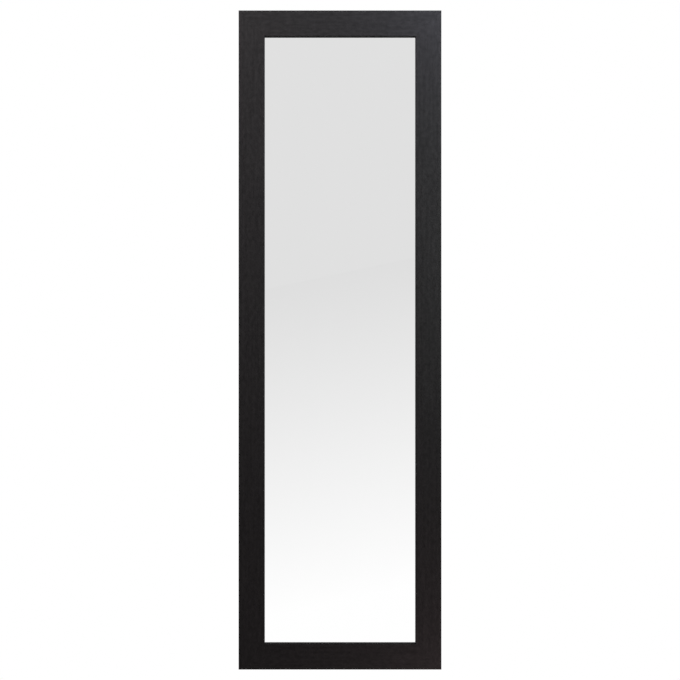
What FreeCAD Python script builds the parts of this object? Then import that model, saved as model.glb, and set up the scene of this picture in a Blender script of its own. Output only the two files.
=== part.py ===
import FreeCAD, Part
import math
import os
import Sketcher

# Tall wall mirror: four mitred mouldings round a silvered pane, with its hanging hardware.
# Millimetres. X runs to the viewer's right, Y from the viewer to the wall, Z up.
# The wall is the plane y = 0. The origin lies on it, midway between the two hooks that carry
# the mirror when it hangs upright.

# Driving dimensions, one spreadsheet cell each
SIZES = {
    "sight_width": 298,
    "sight_height": 1198,
    "face_width": 51,
    "frame_depth": 20,
    "lip_depth": 8,
    "rebate_width": 7,
    "outer_round": 2,
    "lip_round": 1,
    "back_round": 0.8,
    "saw_margin": 5,
    "wall_gap": 6,
    "glass_thick": 4,
    "glass_arris": 0.5,
    "glass_play": 1,
    "board_thick": 3,
    "nail_inner": 21,
    "nail_outer": 41,
    "nail_leg": 7,
    "nail_sheet": 0.6,
    "nail_depth": 10,
    "tab_show": 7,
    "tab_bite": 8,
    "tab_tip": 2,
    "tab_width": 6,
    "tab_sheet": 0.5,
    "tab_inset": 60,
    "stile_tabs": 7,
    "rail_tabs": 2,
    "upright_drop": 200,
    "sideways_drop": 100,
    "strap_sheet": 1,
    "strap_width": 14,
    "strap_length": 46,
    "strap_slope": 45,
    "tail_round": 6,
    "fold_gap": 0.1,
    "eye_play": 0.1,
    "hole_size": 4,
    "hole_start": 21,
    "hole_pitch": 18,
    "ring_wire": 3,
    "ring_width": 22,
    "ring_reach": 15,
    "ring_bend": 3,
    "ring_rest_gap": 0.3,
    "screw_size": 3.5,
    "screw_length": 13,
    "screw_tip": 3,
    "screw_play": 0.05,
    "head_size": 7,
    "head_height": 2.2,
    "head_rim": 0.8,
    "head_flat": 3.2,
    "head_round": 2,
    "bumper_base": 12.7,
    "bumper_end": 11,
    "bumper_round": 0.8,
    "bumper_inset": 70,
}

# Lengths that several pieces share, worked out from the cells
OUTER_WIDTH = "(Sizes.sight_width + 2 * Sizes.face_width)"
OUTER_HEIGHT = "(Sizes.sight_height + 2 * Sizes.face_width)"
HALF_SIGHT_WIDTH = "(Sizes.sight_width / 2)"
HALF_SIGHT_HEIGHT = "(Sizes.sight_height / 2)"
REBATE_DEPTH = "(Sizes.frame_depth - Sizes.lip_depth)"
BOARD_BACK = f"({REBATE_DEPTH} - Sizes.glass_thick - Sizes.board_thick)"
GLASS_BACK = f"({REBATE_DEPTH} - Sizes.glass_thick)"
BACK_CENTRE = "((Sizes.rebate_width + Sizes.face_width) / 2)"
STRAP_HEIGHT = "(2 * Sizes.strap_sheet + Sizes.fold_gap)"
EYE_INSIDE = "(Sizes.ring_wire / 2 + Sizes.eye_play)"
EYE_OUTSIDE = f"({EYE_INSIDE} + Sizes.strap_sheet)"
RING_LEAN = f"asin(({EYE_OUTSIDE} - Sizes.ring_wire / 2 - Sizes.ring_rest_gap) / Sizes.ring_reach)"
HOOK_SEAT = "(Sizes.ring_reach - Sizes.ring_wire / 2)"
FRAME_MIDDLE = f"(Sizes.upright_drop - {OUTER_HEIGHT} / 2)"
UPRIGHT_EYE = f"({OUTER_HEIGHT} / 2 - Sizes.upright_drop - {HOOK_SEAT})"
SIDEWAYS_EYE = f"({OUTER_WIDTH} / 2 - Sizes.sideways_drop - {HOOK_SEAT})"
STILE_CENTRE = f"({HALF_SIGHT_WIDTH} + {BACK_CENTRE})"
RAIL_CENTRE = f"({HALF_SIGHT_HEIGHT} + {BACK_CENTRE})"

doc = FreeCAD.newDocument("wall_mirror")
sheet = doc.addObject("Spreadsheet::Sheet", "Sizes")
for row, (alias, size) in enumerate(SIZES.items(), start=1):
    sheet.set(f"A{row}", alias)
    sheet.set(f"B{row}", str(size))
    sheet.setAlias(f"B{row}", alias)
doc.recompute()

sub_parts = []


def value_of(expression):
    """The number that an expression on the sheet stands for."""
    return float(sheet.evalExpression(expression))


def new_body(label, x, y, z, rotation="rotation(vector(0; 1; 0); 0)"):
    """Start a sub-part and bind its place in the mirror to the sheet."""
    body = doc.addObject("PartDesign::Body", label)
    body.Label = label
    body.AllowCompound = True
    body.setExpression("Placement", f"placement(vector({x}; {y}; {z}); {rotation})")
    sub_parts.append(body)
    return body


def frame_body(label):
    """Start a sub-part whose own origin is the middle of the frame, on the plane of its back."""
    return new_body(label, "0", "-Sizes.wall_gap", FRAME_MIDDLE)


def turn_about_depth(angle):
    """A rotation about Y, which keeps a piece flat against the wall."""
    return f"rotation(vector(0; 1; 0); {angle})"


def origin_feature(body, role):
    """One of the body's own origin planes or axes."""
    return next(item for item in body.Origin.OriginFeatures if item.Role == role)


def new_sketch(body, role, name, shift=("0", "0", "0")):
    """Attach a sketch to an origin plane of its body, shifted in the plane's own axes."""
    sketch = body.newObject("Sketcher::SketchObject", f"{body.Name}_{name}")
    sketch.AttachmentSupport = (origin_feature(body, role), [""])
    sketch.MapMode = "FlatFace"
    for axis, amount in zip("xyz", shift):
        sketch.setExpression(f"AttachmentOffset.Base.{axis}", amount)
    return sketch


def hold_point(sketch, edge, end, x, y):
    """Fix one point of an edge at x, y from the sketch origin, both bound to the sheet."""
    for kind, axis_line, amount in (("DistanceX", -2, x), ("DistanceY", -1, y)):
        if amount == "0":
            sketch.addConstraint(Sketcher.Constraint("PointOnObject", edge, end, axis_line))
            continue
        rule = Sketcher.Constraint(kind, -1, 1, edge, end, value_of(amount))
        index = sketch.addConstraint(rule)
        sketch.setExpression(f"Constraints[{index}]", amount)


def draw_outline(sketch, corners):
    """Draw one closed outline through corners, given anticlockwise as expressions.

    A corner is (x, y), or (x, y, radius) where the edge that leaves it is an arc of under half
    a turn. The arc is anticlockwise, or clockwise when the radius has a minus sign before it.
    """
    first = sketch.GeometryCount
    points = [FreeCAD.Vector(value_of(corner[0]), value_of(corner[1]), 0) for corner in corners]
    ends = []
    for number, corner in enumerate(corners):
        start = points[number]
        stop = points[(number + 1) % len(points)]
        if len(corner) == 2:
            sketch.addGeometry(Part.LineSegment(start, stop), False)
            ends.append((1, 2))
            continue
        clockwise = corner[2].startswith("-")
        radius = value_of(corner[2].lstrip("-"))
        if clockwise:
            start, stop = stop, start
        chord = stop - start
        outward = FreeCAD.Vector(chord.y, -chord.x, 0).normalize()
        rise = radius - math.sqrt(radius ** 2 - (chord.Length / 2) ** 2)
        crest = (start + stop) * 0.5 + outward * rise
        sketch.addGeometry(Part.Arc(start, crest, stop), False)
        ends.append((2, 1) if clockwise else (1, 2))
    for number, corner in enumerate(corners):
        edge = first + number
        before = (number - 1) % len(corners)
        joint = Sketcher.Constraint("Coincident", edge, ends[number][0], first + before, ends[before][1])
        sketch.addConstraint(joint)
        hold_point(sketch, edge, ends[number][0], corner[0], corner[1])
        if len(corner) == 3:
            radius = corner[2].lstrip("-")
            index = sketch.addConstraint(Sketcher.Constraint("Radius", edge, value_of(radius)))
            sketch.setExpression(f"Constraints[{index}]", radius)


def draw_rectangle(sketch, left, bottom, right, top):
    """Draw a rectangle between four expressions."""
    draw_outline(sketch, [(left, bottom), (right, bottom), (right, top), (left, top)])


def draw_circle(sketch, x, y, diameter):
    """Draw a circle with its centre and diameter bound to the sheet."""
    centre = FreeCAD.Vector(value_of(x), value_of(y), 0)
    radius = value_of(diameter) / 2
    edge = sketch.addGeometry(Part.Circle(centre, FreeCAD.Vector(0, 0, 1), radius), False)
    hold_point(sketch, edge, 3, x, y)
    index = sketch.addConstraint(Sketcher.Constraint("Diameter", edge, 2 * radius))
    sketch.setExpression(f"Constraints[{index}]", diameter)


def add_pad(body, sketch, length, symmetric=False, reverse=False):
    """Extrude a sketch, along its normal unless reversed."""
    feature = body.newObject("PartDesign::Pad", f"{sketch.Name}_pad")
    feature.Profile = sketch
    feature.Reversed = reverse
    feature.setExpression("Length", length)
    if symmetric:
        feature.SideType = "Symmetric"
    doc.recompute()
    return feature


def add_pocket(body, sketch, depth=None, reverse=False):
    """Cut a sketch into the body, to a depth or right through, and make sure that it cut something."""
    volume_before = body.Shape.Volume
    feature = body.newObject("PartDesign::Pocket", f"{sketch.Name}_pocket")
    feature.Profile = sketch
    feature.Reversed = reverse
    if depth is None:
        feature.Type = "ThroughAll"
        feature.SideType = "Symmetric"
    else:
        feature.setExpression("Length", depth)
    doc.recompute()
    if body.Shape.Volume >= volume_before:
        raise RuntimeError(f"{sketch.Name} cuts nothing")
    return feature


def add_revolution(body, sketch):
    """Turn a sketch once round its own vertical axis."""
    feature = body.newObject("PartDesign::Revolution", f"{sketch.Name}_turned")
    feature.Profile = sketch
    feature.ReferenceAxis = (sketch, ["V_Axis"])
    feature.Angle = 360
    doc.recompute()
    return feature


def line_pattern(body, axis, length, count):
    """A row of copies along an origin axis, over a length from the first copy to the last."""
    feature = body.newObject("PartDesign::LinearPattern", f"{body.Name}_row")
    feature.Direction = (origin_feature(body, axis), [""])
    feature.Mode = "Extent"
    feature.setExpression("Length", length)
    feature.setExpression("Occurrences", count)
    return feature


def mirror_pattern(body, plane):
    """A mirror image in an origin plane."""
    feature = body.newObject("PartDesign::Mirrored", f"{body.Name}_mirror")
    feature.MirrorPlane = (origin_feature(body, plane), [""])
    return feature


def add_patterns(body, original, patterns):
    """Repeat one feature by several patterns in turn."""
    feature = body.newObject("PartDesign::MultiTransform", f"{original.Name}_group")
    feature.Originals = [original]
    feature.Transformations = patterns
    body.Tip = feature
    doc.recompute()


def tab_corners(wall):
    """A retaining tab's outline: square end over the board, point past the rebate wall."""
    inner = f"({wall} - Sizes.tab_show)"
    shoulder = f"({wall} + Sizes.tab_bite - Sizes.tab_tip)"
    point = f"({wall} + Sizes.tab_bite)"
    half = "(Sizes.tab_width / 2)"
    return [(inner, f"-{half}"), (shoulder, f"-{half}"), (point, "0"), (shoulder, half), (inner, half)]


def make_moulding(label, x, z, angle, sight_length, tabs, eye, side):
    """One mitred member of the frame.

    Its own X runs from the sight edge outwards, its own Y to the wall with 0 at its back, and its
    own Z along it. eye is how far from the middle its hanger's eye stands, on the side +1 or -1.
    """
    body = new_body(label, x, "-Sizes.wall_gap", z, turn_about_depth(angle))
    half_sight = f"({sight_length} / 2)"

    # The moulding's section: flat face, rounded arrises, rebate behind the lip
    section = new_sketch(body, "XY_Plane", "section")
    draw_outline(section, [
        ("0", "-(Sizes.frame_depth - Sizes.lip_round)", "Sizes.lip_round"),
        ("Sizes.lip_round", "-Sizes.frame_depth"),
        ("(Sizes.face_width - Sizes.outer_round)", "-Sizes.frame_depth", "Sizes.outer_round"),
        ("Sizes.face_width", "-(Sizes.frame_depth - Sizes.outer_round)"),
        ("Sizes.face_width", "-Sizes.back_round", "Sizes.back_round"),
        ("(Sizes.face_width - Sizes.back_round)", "0"),
        ("Sizes.rebate_width", "0"),
        ("Sizes.rebate_width", f"-{REBATE_DEPTH}"),
        ("0", f"-{REBATE_DEPTH}"),
    ])
    add_pad(body, section, f"({sight_length} + 2 * Sizes.face_width)", symmetric=True)

    # Mitres at both ends
    mitres = new_sketch(body, "XZ_Plane", "mitres")
    near = f"({half_sight} - Sizes.saw_margin)"
    far = f"({half_sight} + Sizes.face_width + Sizes.saw_margin)"
    inside = "-Sizes.saw_margin"
    outside = "(Sizes.face_width + Sizes.saw_margin)"
    draw_outline(mitres, [(inside, near), (outside, far), (inside, far)])
    draw_outline(mitres, [(inside, f"-{near}"), (inside, f"-{far}"), (outside, f"-{far}")])
    add_pocket(body, mitres)

    # Slots that the corner nails are pressed into
    nail_slots = new_sketch(body, "XZ_Plane", "nail_slots")
    for apex in ("Sizes.nail_inner", "Sizes.nail_outer"):
        left = f"({apex} - Sizes.nail_sheet)"
        low = f"({half_sight} + {apex} - Sizes.nail_leg)"
        high = f"({half_sight} + {apex} + Sizes.saw_margin)"
        draw_rectangle(nail_slots, left, low, apex, high)
        draw_rectangle(nail_slots, left, f"-{high}", apex, f"-{low}")
    add_pocket(body, nail_slots, "Sizes.nail_depth", reverse=True)

    # Slots that the retaining tabs are driven into
    span = f"({sight_length} - 2 * Sizes.tab_inset)"
    tab_slot = new_sketch(body, "XZ_Plane", "tab_slot", ("0", f"-{span} / 2", BOARD_BACK))
    draw_outline(tab_slot, tab_corners("Sizes.rebate_width"))
    slot = add_pocket(body, tab_slot, "Sizes.tab_sheet")
    add_patterns(body, slot, [line_pattern(body, "Z_Axis", span, tabs)])

    # Pilot holes for the hanger's screws
    pilots = new_sketch(body, "XZ_Plane", "pilots")
    sign = "" if side > 0 else "-"
    pilot_size = "(Sizes.screw_size + 2 * Sizes.screw_play)"
    for hole in ("Sizes.hole_start", "(Sizes.hole_start + Sizes.hole_pitch)"):
        draw_circle(pilots, BACK_CENTRE, f"{sign}({eye} - {hole})", pilot_size)
    pilot_depth = f"(Sizes.screw_length - {STRAP_HEIGHT} + Sizes.screw_play)"
    body.Tip = add_pocket(body, pilots, pilot_depth, reverse=True)


def make_frame():
    """The four mouldings, mitred together."""
    top = f"({FRAME_MIDDLE} + {HALF_SIGHT_HEIGHT})"
    bottom = f"({FRAME_MIDDLE} - {HALF_SIGHT_HEIGHT})"
    stile = ("Sizes.sight_height", "Sizes.stile_tabs", UPRIGHT_EYE)
    rail = ("Sizes.sight_width", "Sizes.rail_tabs", SIDEWAYS_EYE)
    make_moulding("frame_top_rail", "0", top, -90, *rail, 1)
    make_moulding("frame_bottom_rail", "0", bottom, 90, *rail, -1)
    make_moulding("frame_left_stile", f"-{HALF_SIGHT_WIDTH}", FRAME_MIDDLE, 180, *stile, -1)
    make_moulding("frame_right_stile", HALF_SIGHT_WIDTH, FRAME_MIDDLE, 0, *stile, 1)


def make_panel(label, rear, thickness):
    """A panel in the rebate. It stands on the bottom rail, with play above it and at its sides."""
    body = frame_body(label)
    outline = new_sketch(body, "XZ_Plane", "outline", ("0", "0", rear))
    half_width = f"({HALF_SIGHT_WIDTH} + Sizes.rebate_width - Sizes.glass_play)"
    bottom = f"-({HALF_SIGHT_HEIGHT} + Sizes.rebate_width)"
    top = f"({HALF_SIGHT_HEIGHT} + Sizes.rebate_width - 2 * Sizes.glass_play)"
    draw_rectangle(outline, f"-{half_width}", bottom, half_width, top)
    return body, add_pad(body, outline, thickness)


def make_glass_and_board():
    """The silvered pane with its arrised edges, and the board that backs it."""
    body, slab = make_panel("mirror_pane", GLASS_BACK, "Sizes.glass_thick")
    arris = body.newObject("PartDesign::Chamfer", "mirror_pane_arris")
    arris.Base = (slab, [""])
    arris.UseAllEdges = True
    arris.setExpression("Size", "Sizes.glass_arris")
    make_panel("backing_board", BOARD_BACK, "Sizes.board_thick")


def make_corner_nails():
    """Bent nails across the mitres, pressed in flush with the back of the frame."""
    body = frame_body("corner_v_nails")
    outline = new_sketch(body, "XZ_Plane", "outline")
    for apex in ("Sizes.nail_inner", "Sizes.nail_outer"):
        x_out = f"({HALF_SIGHT_WIDTH} + {apex})"
        z_out = f"({HALF_SIGHT_HEIGHT} + {apex})"
        x_in = f"({x_out} - Sizes.nail_sheet)"
        z_in = f"({z_out} - Sizes.nail_sheet)"
        x_end = f"({x_out} - Sizes.nail_leg)"
        z_end = f"({z_out} - Sizes.nail_leg)"
        draw_outline(outline, [
            (x_end, z_in), (x_in, z_in), (x_in, z_end), (x_out, z_end), (x_out, z_out), (x_end, z_out),
        ])
    nails = add_pad(body, outline, "Sizes.nail_depth")
    add_patterns(body, nails, [mirror_pattern(body, "YZ_Plane"), mirror_pattern(body, "XY_Plane")])


def make_retaining_tabs():
    """Flat points that lie on the back of the board and run into the rebate walls."""
    body = frame_body("retaining_tabs")

    stile_span = "(Sizes.sight_height - 2 * Sizes.tab_inset)"
    stile_tab = new_sketch(body, "XZ_Plane", "stile_tab", ("0", f"-{stile_span} / 2", BOARD_BACK))
    draw_outline(stile_tab, tab_corners(f"({HALF_SIGHT_WIDTH} + Sizes.rebate_width)"))
    tab = add_pad(body, stile_tab, "Sizes.tab_sheet", reverse=True)
    stile_row = line_pattern(body, "Z_Axis", stile_span, "Sizes.stile_tabs")
    add_patterns(body, tab, [stile_row, mirror_pattern(body, "YZ_Plane")])

    rail_span = "(Sizes.sight_width - 2 * Sizes.tab_inset)"
    rail_tab = new_sketch(body, "XZ_Plane", "rail_tab", (f"-{rail_span} / 2", "0", BOARD_BACK))
    upright_corners = tab_corners(f"({HALF_SIGHT_HEIGHT} + Sizes.rebate_width)")
    draw_outline(rail_tab, [(across, along) for along, across in reversed(upright_corners)])
    tab = add_pad(body, rail_tab, "Sizes.tab_sheet", reverse=True)
    rail_row = line_pattern(body, "X_Axis", rail_span, "Sizes.rail_tabs")
    add_patterns(body, tab, [rail_row, mirror_pattern(body, "XY_Plane")])


def make_strap(label, x, z, rotation):
    """A hanger strap: one strip folded double round the ring's bar, with two screw holes.

    Its own X runs from the bar's axis to the tail, its own Y from the frame's back to the wall,
    and its own Z along the bar.
    """
    body = new_body(label, x, "-Sizes.wall_gap", z, rotation)
    lower_top = "Sizes.strap_sheet"
    upper_bottom = "(Sizes.strap_sheet + Sizes.fold_gap)"
    slope = "Sizes.strap_slope"

    def leaves_eye(radius):
        return f"({radius} * sin({slope}))", f"({EYE_OUTSIDE} + {radius} * cos({slope}))"

    def meets_layer(radius, height):
        across, up = leaves_eye(radius)
        return f"({across} + ({up} - {height}) / tan({slope}))", height

    # Side view of the folded strip: lower layer, eye, slope, upper layer
    side_view = new_sketch(body, "XY_Plane", "side_view")
    draw_outline(side_view, [
        ("0", "0"),
        ("Sizes.strap_length", "0"),
        ("Sizes.strap_length", lower_top),
        ("0", lower_top, f"-{EYE_INSIDE}"),
        (f"-{EYE_INSIDE}", EYE_OUTSIDE, f"-{EYE_INSIDE}"),
        ("0", f"({EYE_OUTSIDE} + {EYE_INSIDE})", f"-{EYE_INSIDE}"),
        leaves_eye(EYE_INSIDE),
        meets_layer(EYE_INSIDE, upper_bottom),
        ("Sizes.strap_length", upper_bottom),
        ("Sizes.strap_length", STRAP_HEIGHT),
        meets_layer(EYE_OUTSIDE, STRAP_HEIGHT),
        leaves_eye(EYE_OUTSIDE) + (EYE_OUTSIDE,),
        ("0", f"(2 * {EYE_OUTSIDE})", EYE_OUTSIDE),
        (f"-{EYE_OUTSIDE}", EYE_OUTSIDE, EYE_OUTSIDE),
    ])
    strip = add_pad(body, side_view, "Sizes.strap_width", symmetric=True)

    # Rounded tail
    tail = value_of("Sizes.strap_length")
    tail_edges = []
    for number, edge in enumerate(strip.Shape.Edges, start=1):
        box = edge.BoundBox
        if box.XMin > tail - 1e-6 and box.ZLength < 1e-6:
            tail_edges.append(f"Edge{number}")
    rounded = body.newObject("PartDesign::Fillet", f"{label}_tail")
    rounded.Base = (strip, tail_edges)
    rounded.setExpression("Radius", "Sizes.tail_round")
    doc.recompute()

    # Screw holes through both layers
    holes = new_sketch(body, "XZ_Plane", "holes")
    for hole in ("Sizes.hole_start", "(Sizes.hole_start + Sizes.hole_pitch)"):
        draw_circle(holes, hole, "0", "Sizes.hole_size")
    add_pocket(body, holes)


def make_ring(label, x, z, rotation):
    """A D-ring bent from round wire. Its straight bar turns in the strap's eye and its bow leans on
    the frame. Its own Z runs along the bar, and the bow reaches along its own -X."""
    leaning = f"{rotation} * rotation(vector(0; 0; 1); {RING_LEAN})"
    body = new_body(label, x, f"(-Sizes.wall_gap + {EYE_OUTSIDE})", z, leaning)
    half = "(Sizes.ring_width / 2)"
    bar_end = f"({half} - Sizes.ring_bend)"
    bow_centre = f"(Sizes.ring_reach - {half})"
    bend = "Sizes.ring_bend"

    wire_path = new_sketch(body, "XZ_Plane", "wire_path")
    draw_outline(wire_path, [
        ("0", "0"),
        ("0", bar_end, bend),
        (f"-{bend}", half),
        (f"-{bow_centre}", half, half),
        ("-Sizes.ring_reach", "0", half),
        (f"-{bow_centre}", f"-{half}"),
        (f"-{bend}", f"-{half}", bend),
        ("0", f"-{bar_end}"),
    ])
    wire_section = new_sketch(body, "XY_Plane", "wire_section")
    draw_circle(wire_section, "0", "0", "Sizes.ring_wire")
    doc.recompute()
    wire = body.newObject("PartDesign::AdditivePipe", f"{label}_wire")
    wire.Profile = wire_section
    wire.Spine = (wire_path, [f"Edge{number}" for number in range(1, wire_path.GeometryCount + 1)])
    doc.recompute()


def make_hangers():
    """Straps and rings: one pair on the stiles for hanging upright, one on the rails for sideways."""
    upright_z = f"-{HOOK_SEAT}"
    sideways_x = f"-{SIDEWAYS_EYE}"
    top = f"({FRAME_MIDDLE} + {RAIL_CENTRE})"
    bottom = f"({FRAME_MIDDLE} - {RAIL_CENTRE})"
    places = {
        "portrait_{}_left": (f"-{STILE_CENTRE}", upright_z, turn_about_depth(90)),
        "portrait_{}_right": (STILE_CENTRE, upright_z, turn_about_depth(90)),
        "landscape_{}_top": (sideways_x, top, turn_about_depth(0)),
        "landscape_{}_bottom": (sideways_x, bottom, turn_about_depth(0)),
    }
    for name, place in places.items():
        make_strap(name.format("hanger"), *place)
    for name, place in places.items():
        make_ring(name.format("ring"), *place)


def make_screws():
    """Pan-head screws through the straps into the mouldings."""
    body = frame_body("hanger_screws")
    shank = "(Sizes.screw_size / 2)"
    head = "(Sizes.head_size / 2)"
    tip = f"({STRAP_HEIGHT} - Sizes.screw_length)"
    crown = f"({STRAP_HEIGHT} + Sizes.head_height)"
    first_upright = f"({UPRIGHT_EYE} - Sizes.hole_start - Sizes.hole_pitch)"
    first_sideways = f"(-{SIDEWAYS_EYE} + Sizes.hole_start)"
    rows = (
        ("upright", STILE_CENTRE, first_upright, "Z_Axis", "YZ_Plane"),
        ("sideways", first_sideways, RAIL_CENTRE, "X_Axis", "XY_Plane"),
    )
    for name, x, z, axis, plane in rows:
        section = new_sketch(body, "XY_Plane", name, (x, "0", z))
        draw_outline(section, [
            ("0", tip),
            (shank, f"({tip} + Sizes.screw_tip)"),
            (shank, STRAP_HEIGHT),
            (head, STRAP_HEIGHT),
            (head, f"({STRAP_HEIGHT} + Sizes.head_rim)", "Sizes.head_round"),
            ("(Sizes.head_flat / 2)", crown),
            ("0", crown),
        ])
        screw = add_revolution(body, section)
        pair = line_pattern(body, axis, "Sizes.hole_pitch", "2")
        add_patterns(body, screw, [pair, mirror_pattern(body, plane)])


def make_bumpers():
    """Tapered rubber bumpers near the corners, which rest on the wall."""
    base = "(Sizes.bumper_base / 2)"
    end = "(Sizes.bumper_end / 2)"
    heights = {
        "top": "(Sizes.upright_drop - Sizes.bumper_inset)",
        "bottom": f"(Sizes.upright_drop - {OUTER_HEIGHT} + Sizes.bumper_inset)",
    }
    sides = {"left": f"-{STILE_CENTRE}", "right": STILE_CENTRE}
    for level, z in heights.items():
        for side, x in sides.items():
            body = new_body(f"wall_bumper_{level}_{side}", x, "-Sizes.wall_gap", z)
            section = new_sketch(body, "XY_Plane", "section")
            draw_outline(section, [
                ("0", "0"),
                (base, "0"),
                (end, "(Sizes.wall_gap - Sizes.bumper_round)", "Sizes.bumper_round"),
                (f"({end} - Sizes.bumper_round)", "Sizes.wall_gap"),
                ("0", "Sizes.wall_gap"),
            ])
            add_revolution(body, section)


def check_document():
    """Stop if any object failed to build or any sub-part has no sound solid."""
    for item in doc.Objects:
        if "Invalid" in item.State or "Error" in item.State:
            raise RuntimeError(f"{item.Name} did not build: {item.State}")
    for body in sub_parts:
        if body.Shape.isNull() or not body.Shape.isValid() or not body.Shape.Solids:
            raise RuntimeError(f"{body.Label} has no sound solid")


def write_parts():
    """Write each sub-part to its own file and print what it holds."""
    os.makedirs("parts", exist_ok=True)
    for body in sub_parts:
        body.Shape.exportStep(f"parts/{body.Label}.step")
        volume = body.Shape.Volume / 1000
        print(f"{body.Label}: {len(body.Shape.Solids)} solids, {volume:.3f} cm3")


make_frame()
make_glass_and_board()
make_corner_nails()
make_retaining_tabs()
make_hangers()
make_screws()
make_bumpers()
doc.recompute()
check_document()
write_parts()
print(f"rings lean {value_of(RING_LEAN):.3f} degrees onto the frame")
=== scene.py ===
import math

import bpy
import numpy as np
from bpy.props import FloatProperty, FloatVectorProperty, PointerProperty
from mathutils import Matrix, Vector


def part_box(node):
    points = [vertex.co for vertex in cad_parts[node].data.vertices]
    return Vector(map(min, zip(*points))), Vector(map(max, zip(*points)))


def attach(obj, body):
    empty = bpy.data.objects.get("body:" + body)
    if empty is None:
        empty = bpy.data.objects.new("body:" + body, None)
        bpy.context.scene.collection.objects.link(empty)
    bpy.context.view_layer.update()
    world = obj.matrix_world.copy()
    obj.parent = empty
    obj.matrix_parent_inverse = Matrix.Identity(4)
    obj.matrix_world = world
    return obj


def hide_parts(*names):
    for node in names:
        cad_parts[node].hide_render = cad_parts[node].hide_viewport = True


bl_info = {
    "name": "Tall framed wall mirror",
    "version": (1, 0, 0),
    "blender": (4, 5, 0),
    "location": "3D View > Sidebar > Mirror",
    "description": "Dresses a tall wall mirror: wrapped mouldings, silvered glass, board and hangers",
    "category": "Object",
}

# Metres throughout. X runs to the viewer's right, Y from the viewer to the wall, Z up.
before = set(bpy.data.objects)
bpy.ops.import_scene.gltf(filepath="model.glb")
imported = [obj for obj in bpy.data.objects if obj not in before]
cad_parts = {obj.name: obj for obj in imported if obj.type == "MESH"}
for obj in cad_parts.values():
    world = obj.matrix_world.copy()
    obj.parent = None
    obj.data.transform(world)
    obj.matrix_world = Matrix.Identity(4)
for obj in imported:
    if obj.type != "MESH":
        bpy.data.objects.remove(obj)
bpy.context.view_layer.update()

BODY = "frame"
DEPTH = np.array([0.0, 1.0, 0.0])

# Each moulding with the way it faces outwards from the opening
MOULDINGS = {
    "frame_top_rail": (0, 0, 1),
    "frame_right_stile": (1, 0, 0),
    "frame_bottom_rail": (0, 0, -1),
    "frame_left_stile": (-1, 0, 0),
}
# Each strap with the way its tail points
STRAPS = {
    "portrait_hanger_left": (0, 0, -1),
    "portrait_hanger_right": (0, 0, -1),
    "landscape_hanger_top": (1, 0, 0),
    "landscape_hanger_bottom": (1, 0, 0),
}
RINGS = ("portrait_ring_left", "portrait_ring_right", "landscape_ring_top", "landscape_ring_bottom")
BUMPERS = (
    "wall_bumper_top_left",
    "wall_bumper_top_right",
    "wall_bumper_bottom_left",
    "wall_bumper_bottom_right",
)
SCREWS_PER_STRAP = 2

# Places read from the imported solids
stile_low, stile_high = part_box("frame_right_stile")
pane_low, pane_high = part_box("mirror_pane")
screws_low, screws_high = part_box("hanger_screws")
SIGHT_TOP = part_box("frame_top_rail")[0].z
SIGHT_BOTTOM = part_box("frame_bottom_rail")[1].z
HALF_SIGHT = np.array([stile_low.x, 0.0, (SIGHT_TOP - SIGHT_BOTTOM) / 2])
MIDDLE = np.array([0.0, 0.0, (SIGHT_TOP + SIGHT_BOTTOM) / 2])
FACE_WIDTH = stile_high.x - stile_low.x
FRONT = stile_low.y
FRAME_DEPTH = stile_high.y - stile_low.y
LIP_DEPTH = pane_low.y - stile_low.y
FOOT = stile_low.z

# Places of the finishes in the materials of a moulding and of the pane; a moulding's third is foil
# without sheen, painted shade that keeps the lip's inner wall dark
FOIL, BARE_BOARD, PAINTED_SHADE_FOIL = range(3)
# The pane's glass-edge finish also covers the wall of the tray in the opening, where its near-black green is
# painted shade
SILVER, GLASS_EDGE_AND_SHADE = range(2)

# The map that the foil's grain follows
GRAIN_MAP = "grain"

# Starting values of the shared node groups, which each material replaces with its own
STREAK_SIZES = {"Length": 0.1, "Width": 0.005, "Detail": 3.0}
FLECK_SIZES = {**STREAK_SIZES, "Threshold": 0.6}
# How rough the noise is, the part of it that the streaks spread out, and how far over its threshold a
# fleck is full
NOISE_ROUGHNESS = 0.55
NOISE_LOW, NOISE_HIGH = 0.3, 0.7
FLECK_SOFTNESS = 0.07

# How the fibres of a board lie, in degrees
FIBRE_TURNS = (14, 49, 88, 121, 160)
# What the bloom leaves of the red, green and blue of zinc
WARM_BLOOM = (0.98, 0.93, 0.84)

# How far a screw is turned from the one before it, and the angle from which its edges are sharp
SCREW_TURN = math.radians(137.5)
SHARP_ANGLE = math.radians(35)

WHITE = (1.0, 1.0, 1.0)
SENSOR_WIDTH_MM = 36


# Settings

def length(name, description, default):
    """A length that a user can change."""
    return FloatProperty(
        name=name, description=description, default=default, min=0, unit="LENGTH", precision=5
    )


def colour(name, description, default):
    """A colour that a user can change."""
    return FloatVectorProperty(
        name=name, description=description, default=default, size=3, min=0, max=1, subtype="COLOR"
    )


def amount(name, description, default):
    """A plain number that a user can change."""
    return FloatProperty(name=name, description=description, default=default, min=0)


class MouldingSettings(bpy.types.PropertyGroup):
    """Sizes and colours of the wrapped mouldings."""

    outer_round: length("Outer edge", "Radius of the face's outer edge", 0.002)
    lip_round: length("Inner edge", "Radius of the face's inner edge", 0.001)
    back_round: length("Back edge", "Radius of the outer edge at the back", 0.0008)
    rebate_width: length("Rebate", "How far the glass is let in behind the lip", 0.007)
    lap_width: length("Foil lap", "How far the foil turns onto the back", 0.007)
    lap_height: length("Foil step", "How far the turned foil stands off the bare back", 0.00015)
    back_settle: length("Back settle", "How far the bare back lies under the pressed-in nails", 0.00005)
    mitre_ease: length("Mitre hairline", "Easing of the sawn edges along each mitre", 0.00012)
    foil_dark: colour("Foil, dark", "Darker streaks of the foil", (0.0110, 0.0094, 0.0097))
    foil_light: colour("Foil, light", "Lighter streaks of the foil", (0.0239, 0.0205, 0.0211))
    board: colour("Bare board", "Sawn fibreboard on the back", (0.40, 0.28, 0.175))


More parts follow.
